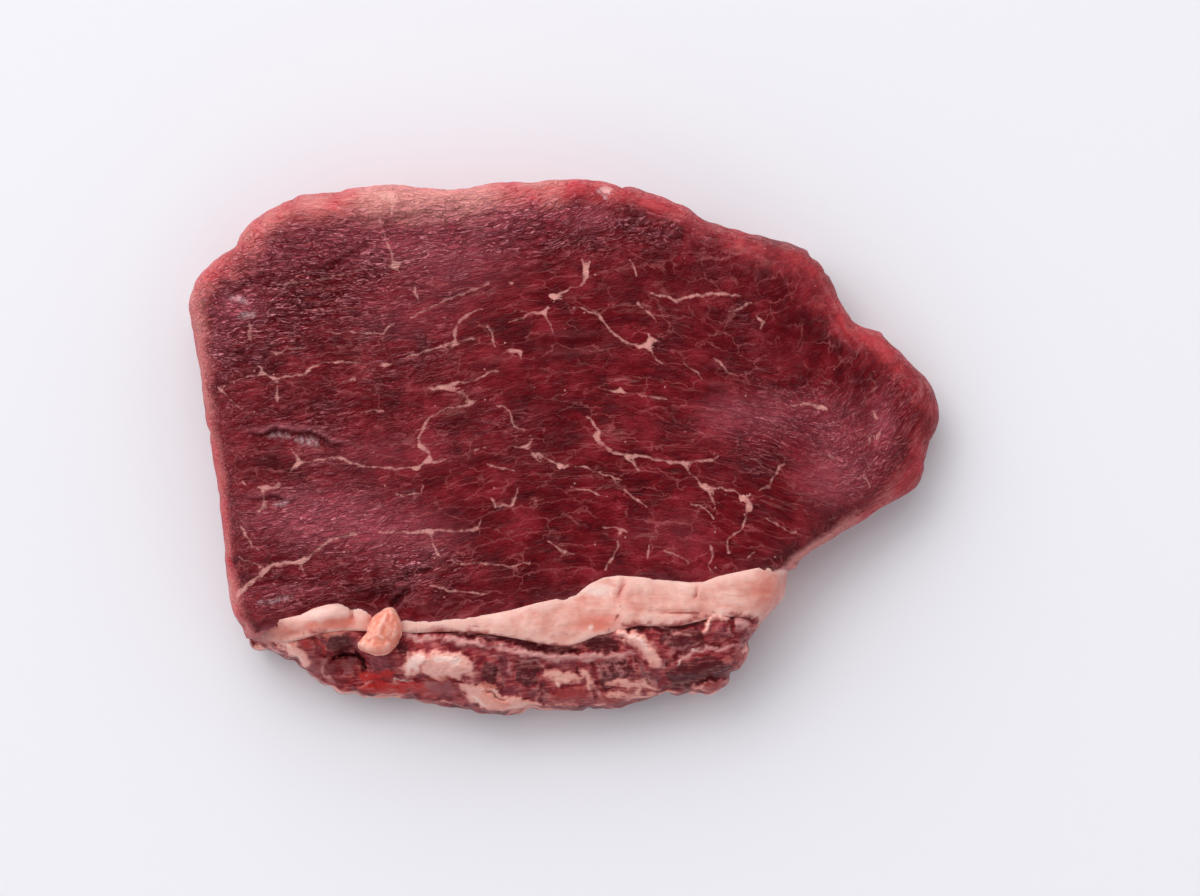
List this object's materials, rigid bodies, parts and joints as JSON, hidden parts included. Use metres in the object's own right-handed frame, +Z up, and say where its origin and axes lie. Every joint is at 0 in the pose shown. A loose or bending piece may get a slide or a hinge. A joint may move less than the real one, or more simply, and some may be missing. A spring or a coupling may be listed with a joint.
{
  "type": "raw sirloin steak",
  "caption": "Thick raw beef slice with a flat underside: a large lean muscle, a pale fat seam, a ragged strip of lean and fat, and a loose lump of fat on the seam.",
  "frame": {"origin": "middle of the steak's length and width, on the surface that its underside rests on", "axes": "+X along the steak's length towards its tapered end, +Y away from the fat seam, +Z up through its thickness"},
  "size_m": [0.1798, 0.1281, 0.0262],
  "materials": {
    "beef_lean": "moist, finely fibrous",
    "beef_hard_fat": "waxy, faintly wet",
    "beef_lean_with_fat": "moist, streaked",
    "beef_soft_fat": "waxy, faintly wet"
  },
  "bodies": {
    "root": {"main_muscle": "beef_lean", "fat_seam": "beef_hard_fat", "lower_muscle": "beef_lean_with_fat", "fat_nub": "beef_soft_fat"}
  },
  "joints": []
}
